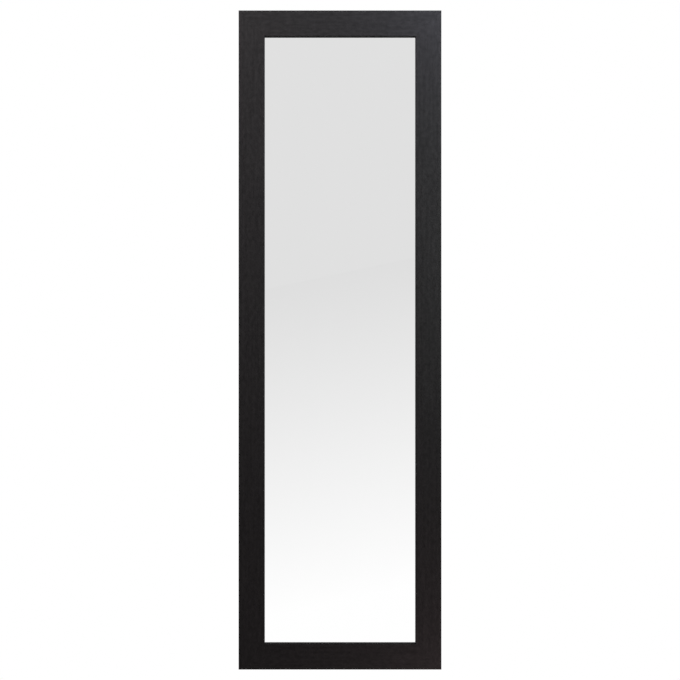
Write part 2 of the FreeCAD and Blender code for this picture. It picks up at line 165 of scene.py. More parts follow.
class PaneSettings(bpy.types.PropertyGroup):
    """Sizes and colours of the silvered glass and the board behind it."""

    arris: length("Arris", "Width of the ground edge of the glass", 0.0005)
    silver_depth: length("Silver depth", "How deep the silver seems to lie behind the glass", 0.0027)
    silver: colour("Silver", "Reflection of the silvered glass", (0.970, 0.970, 0.970))
    # On the wall of the tray in the opening this colour is painted shade: the lip's shaded back, reflected
    # in the silver
    glass_edge_and_shade: colour("Glass edge", "Deep green of the glass seen edge on", (0.007, 0.012, 0.0105))
    hardboard: colour("Hardboard", "Board behind the glass", (0.30, 0.19, 0.11))


class HardwareSettings(bpy.types.PropertyGroup):
    """Sizes and colours of the hanging hardware."""

    head_size: length("Screw head", "Diameter of a screw head", 0.007)
    head_height: length("Head height", "Height of a screw head", 0.0022)
    head_rim: length("Head rim", "Height of the straight rim of a screw head", 0.0008)
    head_round: length("Head round", "Radius of the dome of a screw head", 0.002)
    screw_size: length("Screw size", "Diameter of the shank", 0.0035)
    screw_tip: length("Screw tip", "Length of the point", 0.003)
    first_hole: length("First hole", "From the tail of a strap to its first screw", 0.007)
    hole_pitch: length("Hole pitch", "Between the two screws of a strap", 0.018)
    recess_span: length("Recess span", "Across the cross recess", 0.0038)
    recess_width: length("Recess width", "Width of one bar of the cross recess", 0.0011)
    recess_depth: length("Recess depth", "Depth of the cross recess", 0.0014)
    zinc: colour("Zinc", "Zinc-plated steel", (0.64, 0.65, 0.66))
    rubber: colour("Rubber", "Rubber of the bumpers", (0.022, 0.022, 0.023))


class StageSettings(bpy.types.PropertyGroup):
    """Camera, floor and light."""

    camera_distance: length("Camera distance", "From the lens to the face of the frame", 3.644)
    view_width: length("View width", "What the picture takes in at the face of the frame", 1.3405)
    floor_drop: length("Floor drop", "From the foot of the frame to the floor", 0.28)
    floor_radius: length("Floor radius", "Radius of the pale floor", 1.2)
    ambient: amount("Ambient", "Light that comes from all round, on average", 0.11)
    ambient_rise: amount("Ambient rise", "How much more of it comes from above than from below", 0.5)
    top: amount("Top lamp", "Power of the lamp above the frame, in watts", 1.7)
    top_left: amount("Top left lamp", "Power of the lamp at the upper left corner, in watts", 2.5)
    corner: amount("Top right lamp", "Power of the lamp at the upper right corner, in watts", 2.0)
    right: amount("Right lamp", "Power of the tall lamp on the right, in watts", 6.5)
    left: amount("Left lamp", "Power of the tall lamp on the left, in watts", 2.75)
    low: amount("Low lamp", "Power of the lamp at the lower right corner, in watts", 0.95)
    back: amount("Back lamp", "Power of the lamp behind the mirror, in watts", 100)
    ceiling: amount("Ceiling lamp", "Power of the lamp that lights the floor, in watts", 70)
    cool: colour("Cool light", "Colour of the lamps above and on the right", (0.82, 1.0, 0.98))
    blue: colour("Blue light", "Colour of the lamp at the upper right corner", (0.72, 0.80, 1.0))
    warm: colour("Warm light", "Colour of the lamp at the lower right corner", (1.0, 0.8, 0.8))
    haze_line: amount("Haze line", "Where the reflected surroundings start to brighten, as a slope", 0.036)
    haze_depth: amount("Haze depth", "How far below that line they become white, as a slope", 0.176)
    haze_tilt: amount("Haze tilt", "How much that line rises to the right", 0.214)
    haze_grey: amount("Surroundings", "Brightness of the surroundings above that line", 0.77)
    studio_low: amount("Studio, low", "Brightness of the surroundings low down and to the sides", 0.42)
    studio_high: amount("Studio, high", "Brightness of the surroundings high up and to the sides", 0.95)


class MirrorSettings(bpy.types.PropertyGroup):
    """All settings of the wall mirror."""

    moulding: PointerProperty(type=MouldingSettings)
    pane: PointerProperty(type=PaneSettings)
    hardware: PointerProperty(type=HardwareSettings)
    stage: PointerProperty(type=StageSettings)


# Node helpers

def node(tree, kind, inputs=None, **settings):
    """Add a node. Each input is linked where a socket is given, and set where a value is."""
    made = tree.nodes.new(kind)
    for name, value in settings.items():
        setattr(made, name, value)
    for name, value in (inputs or {}).items():
        feed(tree, made.inputs[name], value)
    return made


def feed(tree, socket, value):
    """Link a socket to another, or set its value."""
    if isinstance(value, bpy.types.NodeSocket):
        tree.links.new(value, socket)
    else:
        socket.default_value = value


def maths(tree, operation, first, second=0.0):
    """One step of arithmetic on values."""
    return node(tree, "ShaderNodeMath", {0: first, 1: second}, operation=operation).outputs[0]


def scaled(tree, value, factor):
    """A value times a factor."""
    return maths(tree, "MULTIPLY", value, factor)


def remap(tree, value, low, high, to_low=0.0, to_high=1.0, smooth=False):
    """Map a value from one range to another, held inside it."""
    kind = "SMOOTHSTEP" if smooth else "LINEAR"
    inputs = {"Value": value, "From Min": low, "From Max": high, "To Min": to_low, "To Max": to_high}
    return node(tree, "ShaderNodeMapRange", inputs, interpolation_type=kind).outputs["Result"]


def spread(tree, tone, at_zero, at_one):
    """Map a tone from 0 to 1 onto a range."""
    return remap(tree, tone, 0.0, 1.0, at_zero, at_one)


def mix_value(tree, factor, first, second):
    """Blend two values."""
    return node(tree, "ShaderNodeMix", {0: factor, 2: first, 3: second}).outputs[0]


def mix_colour(tree, factor, first, second):
    """Blend two colours, or a colour with a socket."""
    made = node(tree, "ShaderNodeMix", data_type="RGBA")
    factor_socket, first_socket, second_socket = made.inputs[0], made.inputs[6], made.inputs[7]
    feed(tree, factor_socket, factor)
    feed(tree, first_socket, first)
    feed(tree, second_socket, second)
    return made.outputs[2]


def marked(tree, base, mask, strength, mark):
    """A colour with marks of another where a mask is, as strong as given."""
    return mix_colour(tree, scaled(tree, mask, strength), base, mark)


def opaque(rgb, shade=1.0):
    """A colour socket's four numbers, made lighter or darker by a factor."""
    return (*(min(1.0, channel * shade) for channel in rgb), 1.0)


def new_group(name, inputs, output):
    """Start a node group with value inputs, a Vector and one value output."""
    group = bpy.data.node_groups.new(name, "ShaderNodeTree")
    group.interface.new_socket("Vector", in_out="INPUT", socket_type="NodeSocketVector")
    for label, default in inputs.items():
        socket = group.interface.new_socket(label, in_out="INPUT", socket_type="NodeSocketFloat")
        socket.default_value = default
    group.interface.new_socket(output, in_out="OUTPUT", socket_type="NodeSocketFloat")
    entry = node(group, "NodeGroupInput")
    leave = node(group, "NodeGroupOutput")
    return group, entry.outputs, leave.inputs


def stretched_noise(tree, entry):
    """Noise whose features are as long as Length along the first axis and as wide as Width across it."""
    along = maths(tree, "DIVIDE", 1.0, entry["Length"])
    across = maths(tree, "DIVIDE", 1.0, entry["Width"])
    scale = node(tree, "ShaderNodeCombineXYZ", {"X": along, "Y": across, "Z": across}).outputs[0]
    place = node(tree, "ShaderNodeVectorMath", {0: entry["Vector"], 1: scale}, operation="MULTIPLY")
    inputs = {
        "Vector": place.outputs[0],
        "Scale": 1.0,
        "Detail": entry["Detail"],
        "Roughness": NOISE_ROUGHNESS,
    }
    return node(tree, "ShaderNodeTexNoise", inputs).outputs["Fac"]


def streaks_group():
    """The soft streaks that the materials share, built at their first use."""
    name = "soft_streaks"
    if name not in bpy.data.node_groups:
        tree, entry, leave = new_group(name, STREAK_SIZES, "Tone")
        feed(tree, leave["Tone"], remap(tree, stretched_noise(tree, entry), NOISE_LOW, NOISE_HIGH))
    return bpy.data.node_groups[name]


def flecks_group():
    """The small flecks that the materials share, built at their first use."""
    name = "small_flecks"
    if name not in bpy.data.node_groups:
        tree, entry, leave = new_group(name, FLECK_SIZES, "Mask")
        full = maths(tree, "ADD", entry["Threshold"], FLECK_SOFTNESS)
        mask = remap(tree, stretched_noise(tree, entry), entry["Threshold"], full, smooth=True)
        feed(tree, leave["Mask"], mask)
    return bpy.data.node_groups[name]


def streaks(tree, vector, length, width, detail):
    """Place the soft streaks in a material, with their length and width."""
    inputs = {"Vector": vector, "Length": length, "Width": width, "Detail": detail}
    return node(tree, "ShaderNodeGroup", inputs, node_tree=streaks_group()).outputs["Tone"]


def flecks(tree, vector, length, width, threshold, detail=2.0):
    """Place the small flecks in a material: a higher threshold leaves fewer."""
    inputs = {"Vector": vector, "Length": length, "Width": width, "Detail": detail, "Threshold": threshold}
    return node(tree, "ShaderNodeGroup", inputs, node_tree=flecks_group()).outputs["Mask"]


def crossing_fibres(tree, place, length, width, threshold):
    """Fibres that lie every way in a board: the strongest of several masks of flecks, turned against each
    other in the plane of the board."""
    mask = 0.0
    for turn in FIBRE_TURNS:
        rotation = (0, math.radians(turn), 0)
        laid = node(tree, "ShaderNodeMapping", {"Vector": place, "Rotation": rotation}).outputs[0]
        mask = maths(tree, "MAXIMUM", flecks(tree, laid, length, width, threshold), mask)
    return mask


def new_material(name):
    """Start a material and give its tree and its Principled shader."""
    material = bpy.data.materials.new(name)
    material.use_nodes = True
    return material, material.node_tree, material.node_tree.nodes["Principled BSDF"]


def set_finish(tree, shader, base, roughness, **constants):
    """Feed the shader's colour and roughness, and set what is the same all over the surface."""
    feed(tree, shader.inputs["Base Color"], base)
    feed(tree, shader.inputs["Roughness"], roughness)
    for name, value in constants.items():
        shader.inputs[name.replace("_", " ")].default_value = value


def add_bump(tree, shader, height, distance, strength):
    """Let a height stand out of the surface by a real distance."""
    inputs = {"Height": height, "Distance": distance, "Strength": strength}
    feed(tree, shader.inputs["Normal"], node(tree, "ShaderNodeBump", inputs).outputs["Normal"])


def object_place(tree):
    """Object coordinates, which are the mirror's own metres."""
    return node(tree, "ShaderNodeTexCoord").outputs["Object"]


def ray_kinds(tree):
    """Light Path's outputs, and a value that is 1 for what mirrors, metal and glass show."""
    light = node(tree, "ShaderNodeLightPath").outputs
    return light, maths(tree, "MAXIMUM", light["Is Glossy Ray"], light["Is Transmission Ray"])


# Finishes

def foil_material(name, sizes, sheen):
    """Near-black wood-effect foil: long streaks, soft clouding and short embossed pores along the grain."""
    material, tree, shader = new_material(name)
    grain = node(tree, "ShaderNodeUVMap", uv_map=GRAIN_MAP).outputs["UV"]
    long_tone = streaks(tree, grain, length=0.12, width=0.005, detail=4.0)
    cloud = streaks(tree, grain, length=0.012, width=0.0065, detail=3.0)
    pores = flecks(tree, grain, length=0.005, width=0.00035, threshold=0.56)
    tone = maths(tree, "ADD", scaled(tree, long_tone, 0.4), scaled(tree, cloud, 0.6))
    base = mix_colour(tree, tone, opaque(sizes.foil_dark), opaque(sizes.foil_light))
    pored = marked(tree, base, pores, strength=0.45, mark=opaque(sizes.foil_dark, 0.5))
    satin = spread(tree, tone, at_zero=0.62, at_one=0.52)
    dulled = maths(tree, "ADD", satin, scaled(tree, pores, 0.12))
    set_finish(tree, shader, pored, dulled, Specular_IOR_Level=sheen)
    height = maths(tree, "SUBTRACT", scaled(tree, cloud, 0.3), pores)
    add_bump(tree, shader, height, distance=0.00006, strength=0.5)
    return material


def bare_board_material(sizes):
    """Sawn fibreboard: pale brown, with fine darker and lighter fibres, dry and slightly furred."""
    material, tree, shader = new_material("bare_fibreboard")
    place = object_place(tree)
    tone = streaks(tree, place, length=0.05, width=0.05, detail=4.0)
    fibres = crossing_fibres(tree, place, length=0.0022, width=0.0004, threshold=0.57)
    light_fibres = crossing_fibres(tree, place, length=0.0015, width=0.0003, threshold=0.6)
    base = mix_colour(tree, tone, opaque(sizes.board, 0.9), opaque(sizes.board, 1.08))
    darker = marked(tree, base, fibres, strength=0.4, mark=opaque(sizes.board, 0.5))
    lighter = marked(tree, darker, light_fibres, strength=0.35, mark=opaque(sizes.board, 1.5))
    dry = spread(tree, fibres, at_zero=0.92, at_one=0.8)
    set_finish(tree, shader, lighter, dry, Specular_IOR_Level=0.25)
    height = maths(tree, "ADD", fibres, light_fibres)
    add_bump(tree, shader, height, distance=0.0001, strength=0.4)
    return material


def silver_material(sizes):
    """Silvered glass: a clean mirror with the faintest wiping marks and a few specks of dust."""
    material, tree, shader = new_material("mirror_silver")
    place = object_place(tree)
    wiping = streaks(tree, place, length=0.05, width=0.35, detail=3.0)
    dust = flecks(tree, place, length=0.0009, width=0.0009, threshold=0.74)
    base = mix_colour(tree, wiping, opaque(sizes.silver, 0.997), opaque(sizes.silver))
    dusty = marked(tree, base, dust, strength=0.25, mark=opaque(sizes.silver, 0.8))
    polish = spread(tree, wiping, at_zero=0.004, at_one=0.012)
    set_finish(tree, shader, dusty, polish, Metallic=1.0)
    return material


def glass_edge_and_shade_material(sizes):
    """Ground edge of float glass: deep green, frosted, with a little chipping. On the wall of the tray in
    the opening this near-black green is painted shade: the lip's shaded back, reflected in the silver.
    """
    material, tree, shader = new_material("ground_glass_edge_and_painted_shade")
    place = object_place(tree)
    tone = streaks(tree, place, length=0.004, width=0.004, detail=3.0)
    chips = flecks(tree, place, length=0.0012, width=0.0012, threshold=0.6)
    base = mix_colour(tree, tone, opaque(sizes.glass_edge_and_shade, 0.7), opaque(sizes.glass_edge_and_shade, 1.4))
    chipped = mix_colour(tree, chips, base, opaque(sizes.glass_edge_and_shade, 4.0))
    frosted = spread(tree, tone, at_zero=0.45, at_one=0.6)
    set_finish(tree, shader, chipped, frosted, Specular_IOR_Level=0.05)
    add_bump(tree, shader, chips, distance=0.00005, strength=0.4)
    return material


def hardboard_material(sizes):
    """Brown hardboard, smooth side out: pressed fibres in darker and lighter flecks, with a dull polish."""
    material, tree, shader = new_material("pressed_hardboard")
    place = object_place(tree)
    cloud = streaks(tree, place, length=0.11, width=0.11, detail=5.0)
    dark_fibres = crossing_fibres(tree, place, length=0.006, width=0.0006, threshold=0.58)
    pale_fibres = crossing_fibres(tree, place, length=0.004, width=0.0004, threshold=0.6)
    base = mix_colour(tree, cloud, opaque(sizes.hardboard, 0.88), opaque(sizes.hardboard, 1.1))
    darker = marked(tree, base, dark_fibres, strength=0.5, mark=opaque(sizes.hardboard, 0.42))
    paler = marked(tree, darker, pale_fibres, strength=0.4, mark=opaque(sizes.hardboard, 1.7))
    dull = spread(tree, dark_fibres, at_zero=0.62, at_one=0.5)
    set_finish(tree, shader, paler, dull, Specular_IOR_Level=0.3)
    height = maths(tree, "ADD", dark_fibres, pale_fibres)
    add_bump(tree, shader, height, distance=0.00005, strength=0.35)
    return material


def zinc_material(name, sizes, shade):
    """Zinc-plated steel: a cool metal with a faint warm bloom, fine rubbing marks and small pits."""
    material, tree, shader = new_material(name)
    place = object_place(tree)
    bloom = streaks(tree, place, length=0.007, width=0.005, detail=4.0)
    rubbing = streaks(tree, place, length=0.006, width=0.00012, detail=2.0)
    pits = flecks(tree, place, length=0.0004, width=0.0004, threshold=0.64)
    cool = opaque(sizes.zinc, shade)
    warm = opaque([channel * kept for channel, kept in zip(cool, WARM_BLOOM)])
    base = mix_colour(tree, bloom, cool, warm)
    pitted = marked(tree, base, pits, strength=0.6, mark=opaque(sizes.zinc, shade * 0.4))
    wear = maths(tree, "ADD", bloom, rubbing)
    worn = remap(tree, wear, low=0.4, high=1.6, to_low=0.24, to_high=0.42)
    set_finish(tree, shader, pitted, worn, Metallic=1.0)
    height = maths(tree, "SUBTRACT", scaled(tree, rubbing, 0.4), pits)
    add_bump(tree, shader, height, distance=0.00001, strength=0.4)
    return material


def rubber_material(sizes):
    """Black moulded rubber: matt, with a faint grey bloom and dust in its fine grain."""
    material, tree, shader = new_material("moulded_rubber")
    place = object_place(tree)
    bloom = streaks(tree, place, length=0.004, width=0.004, detail=4.0)
    dust = flecks(tree, place, length=0.0005, width=0.0005, threshold=0.62)
    base = mix_colour(tree, bloom, opaque(sizes.rubber), opaque(sizes.rubber, 2.0))
    dusty = marked(tree, base, dust, strength=0.5, mark=opaque(sizes.rubber, 6.0))
    matt = spread(tree, bloom, at_zero=0.68, at_one=0.85)
    set_finish(tree, shader, dusty, matt)
    add_bump(tree, shader, maths(tree, "ADD", bloom, dust), distance=0.00003, strength=0.5)
    return material


# Mesh helpers

def ring_faces(rings, around):
    """Quads between neighbouring rings of points, where each ring closes on itself."""
    first = np.arange(rings - 1)[:, None] * around
    here = np.arange(around)
    after = (here + 1) % around
    corners = [first + here, first + after, first + around + after, first + around + here]
    return np.stack(corners, axis=-1).reshape(-1, 4)


def new_object(name, data):
    """Put a mesh, a lamp or a camera into the scene."""
    made = bpy.data.objects.new(name, data)
    bpy.context.scene.collection.objects.link(made)
    return made


def new_surface(name, points, faces, materials):
    """Put a worked-out surface into an object at the origin, with its materials."""
    mesh = bpy.data.meshes.new(name)
    mesh.from_pydata(points.reshape(-1, 3), [], faces)
    for material in materials:
        mesh.materials.append(material)
    return new_object(name, mesh)


def new_piece(name, points, faces, materials):
    """A new surface of the mirror, which moves with the frame and takes its finish from a slot."""
    piece = new_surface(name, points, faces, materials)
    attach(piece, BODY)
    return piece


def dress(names, material):
    """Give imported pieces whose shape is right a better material."""
    for name in names:
        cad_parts[name].material_slots[0].material = material


# Mouldings

def quarter_turn(centre, radius, start, steps=8):
    """Points of a quarter circle: the centre plus the radius times (cos, sin) of even angles."""
    angles = np.radians(np.linspace(start, start + 90, steps + 1))
    return np.array(centre) + radius * np.column_stack([np.cos(angles), np.sin(angles)])


def moulding_section(sizes):
    """The moulding's closed section, and for the run that leaves each point whether it is rounded and which
    finish it has.

    A point is (outwards from the opening, behind the face). From the lip's front edge it goes over
    the face, down the outer side, round onto the turned foil, along the bare back and into the rebate.
    """
    back = FRAME_DEPTH - sizes.back_settle
    lap = FRAME_DEPTH + sizes.lap_height
    lap_edge = FACE_WIDTH - sizes.lap_width
    turns = [
        quarter_turn((sizes.lip_round, sizes.lip_round), sizes.lip_round, start=180),
        quarter_turn((FACE_WIDTH - sizes.outer_round, sizes.outer_round), sizes.outer_round, start=270),
        quarter_turn((FACE_WIDTH - sizes.back_round, lap - sizes.back_round), sizes.back_round, start=0),
    ]
    corners = np.array([
        (lap_edge, lap),
        (lap_edge, back),
        (sizes.rebate_width, back),
        (sizes.rebate_width, LIP_DEPTH),
        (0.0, LIP_DEPTH),
    ])
    # The lip's inner wall takes the foil without sheen: painted shade, which keeps that wall dark
    corner_finish = [FOIL, BARE_BOARD, BARE_BOARD, BARE_BOARD, PAINTED_SHADE_FOIL]
    section = np.vstack([*turns, corners])
    on_turn = [np.arange(len(turn)) < len(turn) - 1 for turn in turns]
    rounded = np.concatenate([*on_turn, np.zeros(len(corners), bool)])
    finish = np.full(len(section), FOIL, np.int32)
    finish[-len(corners):] = corner_finish
    return section, rounded, finish


def drawn_in(section, distance):
    """A closed section with every side moved inwards by the same distance.

    A corner moves by the sum of its two sides' inward normals, divided by one plus their dot product.
    """
    sides = np.roll(section, -1, axis=0) - section
    inward = np.column_stack([-sides[:, 1], sides[:, 0]]) / np.linalg.norm(sides, axis=1)[:, None]
    before = np.roll(inward, 1, axis=0)
    shift = (inward + before) / (1 + np.sum(inward * before, axis=1))[:, None]
    return section + distance * shift


def make_moulding(name, outward, number, sizes, materials):
    """One mitred moulding: its section carried along the side of the opening.

    At both ends a point stops as far past the opening's corner as it lies outwards, which is the
    mitre. The last ring is drawn in by the mitre's easing, and the ring before it lies that far back.
    """
    section, rounded, finish = moulding_section(sizes)
    around = len(section)
    outward = np.array(outward, float)
    along = np.cross(DEPTH, outward)
    reach = np.abs(outward) @ HALF_SIGHT
    half_length = np.abs(along) @ HALF_SIGHT
    eased = drawn_in(section, sizes.mitre_ease)
    rings = np.stack([eased, section, section, eased])
    ends = np.array([-1.0, -1.0, 1.0, 1.0])[:, None]
    pulled = np.array([0.0, sizes.mitre_ease, sizes.mitre_ease, 0.0])[:, None]
    run = ends * (half_length + rings[..., 0] - pulled)
    points = (
        MIDDLE
        + run[..., None] * along
        + (reach + rings[..., 0])[..., None] * outward
        + (FRONT + rings[..., 1])[..., None] * DEPTH
    )
    strips = len(rings) - 1
    last = strips * around
    quads = ring_faces(len(rings), around)
    caps = [list(range(around))[::-1], list(range(last, last + around))]
    wrapped = name.replace("frame", "wrapped")
    piece = new_piece(wrapped, points, [*quads.tolist(), *caps], materials)
    mesh = piece.data
    smooth = np.append(np.tile(rounded, strips), [False] * len(caps))
    finishes = np.append(np.tile(finish, strips), [BARE_BOARD] * len(caps))
    mesh.polygons.foreach_set("use_smooth", smooth)
    mesh.polygons.foreach_set("material_index", finishes.astype(np.int32))
    foil_start = number * 2 * (half_length + FACE_WIDTH)
    lay_grain(mesh, section, run, foil_start, quads)
    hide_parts(name)


def lay_grain(mesh, section, run, start, quads):
    """A map in metres: along the moulding, and round its section. Each moulding starts where another part of
    the long foil is, so that no two are alike."""
    widths = np.linalg.norm(np.roll(section, -1, axis=0) - section, axis=1)
    round_start = np.cumsum(widths) - widths
    strips = len(quads) // len(section)
    run_flat = run.reshape(-1)
    across = np.stack([round_start, round_start + widths, round_start + widths, round_start], axis=-1)
    side_map = np.stack([run_flat[quads] + start, np.tile(across, (strips, 1))], axis=-1)
    cap_map = np.concatenate([section[::-1], section])
    whole_map = np.concatenate([side_map.reshape(-1, 2), cap_map])
    layer = mesh.uv_layers.new(name=GRAIN_MAP)
    layer.data.foreach_set("uv", whole_map.astype(np.float32).ravel())


# Pane

def make_pane(sizes, materials):
    """The glass, as a run of rectangles from the silver in the opening to the painted back.

    Each rectangle has its own half sizes, middle and depth. The silver lies as deep as it seems to lie
    in real glass, so the opening is a shallow tray whose dark wall goes on from the frame's lip; that
    wall's near-black green is painted shade, where a real mirror shows the lip's shaded back reflected
    in the silver. Then come the rim under the lip, the arris, the cut edge, the back arris and the back.
    """
    half = np.array([pane_high.x - pane_low.x, pane_high.z - pane_low.z]) / 2
    middle = np.array([pane_high.x + pane_low.x, pane_high.z + pane_low.z]) / 2
    opening, opening_middle = HALF_SIGHT[[0, 2]], MIDDLE[[0, 2]]
    drawn = half - sizes.arris
    front, back = pane_low.y, pane_high.y
    half_sizes = np.array([opening, opening, drawn, half, half, drawn])
    middles = np.array([opening_middle, opening_middle, middle, middle, middle, middle])
    depths = [front + sizes.silver_depth, front, front, front + sizes.arris, back - sizes.arris, back]
    turn = np.array([(-1, -1), (1, -1), (1, 1), (-1, 1)])
    flat = middles[:, None, :] + half_sizes[:, None, :] * turn
    deep = np.broadcast_to(np.array(depths)[:, None], flat.shape[:2])
    points = np.stack([flat[..., 0], deep, flat[..., 1]], axis=-1)
    rings, around = deep.shape
    sides = ring_faces(rings, around)[:, ::-1]
    last = (rings - 1) * around
    faces = [[0, 1, 2, 3], [last + 3, last + 2, last + 1, last], *sides.tolist()]
    piece = new_piece("silvered_pane", points, faces, materials)
    # The glass-edge finish on the tray's wall is painted shade for the lip's shaded back in the silver
    finishes = [SILVER] + [GLASS_EDGE_AND_SHADE] * (len(faces) - 1)
    piece.data.polygons.foreach_set("material_index", np.array(finishes, np.int32))
    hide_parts("mirror_pane")


# Screws

def cross_reach(angles, span, width):
    """How far a cross reaches at each angle: the further of its two bars, where a bar reaches to the
    nearer of its end and its side."""
    tiny = 1e-9
    level = np.maximum(np.abs(np.cos(angles)), tiny)
    upright = np.maximum(np.abs(np.sin(angles)), tiny)
    flat_bar = np.minimum(span / 2 / level, width / 2 / upright)
    tall_bar = np.minimum(width / 2 / level, span / 2 / upright)
    return np.maximum(flat_bar, tall_bar)


def screw_angles(sizes):
    """Angles round a screw that hit every corner of its cross recess, with even steps between them."""
    corner = math.atan2(sizes.recess_width, sizes.recess_span)
    stops = [0.0, corner, math.pi / 4, math.pi / 2 - corner, math.pi / 2]
    steps = [3, 4, 4, 3]
    quarter = [np.linspace(a, b, n, endpoint=False) for a, b, n in zip(stops, stops[1:], steps)]
    return np.concatenate([np.concatenate(quarter) + turn * math.pi / 2 for turn in range(4)])


def dome_height(radius, sizes):
    """Height of a screw head over its seat: flat on top, then a circle down to the straight rim."""
    drop = sizes.head_height - sizes.head_round
    start = sizes.head_size / 2 - math.sqrt(sizes.head_round ** 2 - (sizes.head_rim - drop) ** 2)
    outwards = np.clip(radius - start, 0.0, sizes.head_round)
    return drop + np.sqrt(sizes.head_round ** 2 - outwards ** 2)


def screw_rings(sizes):
    """Radius and height of each ring of a screw, at every angle: recess, dome, rim, seat and shank.

    Over the dome a ring's radius goes from the recess's outline to the rim in even steps, so the
    cross turns smoothly into a circle.
    """
    # Shares of the recess's outline at its floor and at the top of its wall
    floor_share, wall_share = 0.45, 0.9
    # Share of the recess's depth by which its middle dips, and of its span by which its edge is eased
    dip_share, ease_share = 0.2, 0.06
    # Shares of the rim's height and radius where the head turns under to its seat
    foot_share, seat_share = 0.2, 0.97
    dome_rings = 9
    angles = screw_angles(sizes)
    outline = cross_reach(angles, sizes.recess_span, sizes.recess_width)
    rim = np.full_like(angles, sizes.head_size / 2)
    shank = np.full_like(angles, sizes.screw_size / 2)
    level = np.ones_like(angles)
    seat = np.zeros_like(angles)
    ease = ease_share * sizes.recess_span
    floor_height = sizes.head_height - sizes.recess_depth
    centre_height = floor_height - dip_share * sizes.recess_depth
    tip_height = screws_low.y - (screws_high.y - sizes.head_height)
    rings = [
        (outline * floor_share, level * floor_height),
        (outline * wall_share, dome_height(outline, sizes) - 2 * ease),
        (outline, dome_height(outline, sizes) - ease / 2),
    ]
    for share in np.linspace(0, 1, dome_rings):
        radius = (outline + ease) * (1 - share) + rim * share
        rings.append((radius, dome_height(radius, sizes)))
    rings += [
        (rim, level * sizes.head_rim * foot_share),
        (rim * seat_share, seat),
        (shank, seat),
        (shank, level * (tip_height + sizes.screw_tip)),
    ]
    radius = np.stack([ring[0] for ring in rings])
    height = np.stack([ring[1] for ring in rings])
    return angles, radius, height, centre_height, tip_height


def screw_places(sizes):
    """The axis of each screw on the plane of the wall: two on each strap, from its tail."""
    places = []
    for name, tail in STRAPS.items():
        low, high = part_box(name)
        tail = np.array(tail, float)
        middle = np.array((low + high) / 2)
        half = np.abs(tail) @ np.array((high - low) / 2)
        for hole in range(SCREWS_PER_STRAP):
            back = half - sizes.first_hole - hole * sizes.hole_pitch
            places.append((middle + tail * back) * [1.0, 0.0, 1.0])
    return np.array(places)


def make_screws(sizes, material):
    """Eight screws in one mesh, each with its cross turned as the driver left it: by the golden angle."""
    angles, radius, height, centre, tip = screw_rings(sizes)
    places = screw_places(sizes)
    seat = screws_high.y - sizes.head_height
    turns = np.arange(len(places)) * SCREW_TURN
    turned = angles[None, None, :] + turns[:, None, None]
    across = radius * np.cos(turned)
    upward = radius * np.sin(turned)
    deep = np.broadcast_to(seat + height, across.shape)
    shells = np.stack([across, deep, upward], axis=-1) + places[:, None, None, :]
    rings, around = radius.shape
    ends = np.stack([places + (seat + centre) * DEPTH, places + (seat + tip) * DEPTH], axis=1)
    points = np.concatenate([shells.reshape(len(places), -1, 3), ends], axis=1)
    here = np.arange(around)
    after = (here + 1) % around
    last = (rings - 1) * around
    centre_fan = np.column_stack([np.full(around, rings * around), after, here])
    tip_fan = np.column_stack([np.full(around, rings * around + 1), last + here, last + after])
    first = np.arange(len(places)) * (rings * around + 2)
    quads = (ring_faces(rings, around)[None] + first[:, None, None]).reshape(-1, 4)
    fans = (np.concatenate([centre_fan, tip_fan])[None] + first[:, None, None]).reshape(-1, 3)
    faces = [*quads.tolist(), *fans.tolist()]
    piece = new_piece("cross_head_screws", points, faces, [material])
    piece.data.shade_smooth()
    piece.data.set_sharp_from_angle(angle=SHARP_ANGLE)
    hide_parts("hanger_screws")


# Operators

class WALL_MIRROR_OT_mouldings(bpy.types.Operator):
    """Make the four mitred mouldings, wrapped in foil and bare on the back"""

    bl_idname = "wall_mirror.mouldings"
    bl_label = "Mouldings"

    def execute(self, context):
        sizes = context.scene.wall_mirror.moulding
        foil = foil_material("wood_effect_foil", sizes, sheen=0.05)
        # The same foil without sheen, for the lip's inner wall: painted shade, which keeps that wall as dark
        # as the shade it lies in
        painted_shade_foil = foil_material("painted_shade_foil", sizes, sheen=0.0)
        materials = [foil, bare_board_material(sizes), painted_shade_foil]
        for number, (name, outward) in enumerate(MOULDINGS.items()):
            make_moulding(name, outward, number, sizes, materials)
        return {"FINISHED"}


class WALL_MIRROR_OT_pane(bpy.types.Operator):
    """Make the silvered pane with its ground edges, whose finish is painted shade on the wall of its tray"""

    bl_idname = "wall_mirror.pane"
    bl_label = "Silvered pane"

    def execute(self, context):
        sizes = context.scene.wall_mirror.pane
        make_pane(sizes, [silver_material(sizes), glass_edge_and_shade_material(sizes)])
        return {"FINISHED"}


class WALL_MIRROR_OT_board(bpy.types.Operator):
    """Finish the hardboard behind the glass"""

    bl_idname = "wall_mirror.board"
    bl_label = "Backing board"

    def execute(self, context):
        dress(["backing_board"], hardboard_material(context.scene.wall_mirror.pane))
        return {"FINISHED"}


class WALL_MIRROR_OT_fixings(bpy.types.Operator):
    """Finish the corner nails and the tabs that hold glass and board"""

    bl_idname = "wall_mirror.fixings"
    bl_label = "Nails and tabs"

    def execute(self, context):
        sizes = context.scene.wall_mirror.hardware
        dress(["corner_v_nails", "retaining_tabs"], zinc_material("pressed_steel", sizes, shade=0.8))
        return {"FINISHED"}


class WALL_MIRROR_OT_hangers(bpy.types.Operator):
    """Finish the strap hangers and their swinging rings"""

    bl_idname = "wall_mirror.hangers"
    bl_label = "Hangers and rings"

    def execute(self, context):
        sizes = context.scene.wall_mirror.hardware
        dress(STRAPS, zinc_material("zinc_plated_strap", sizes, shade=1.0))
        dress(RINGS, zinc_material("zinc_plated_wire", sizes, shade=1.08))
        return {"FINISHED"}


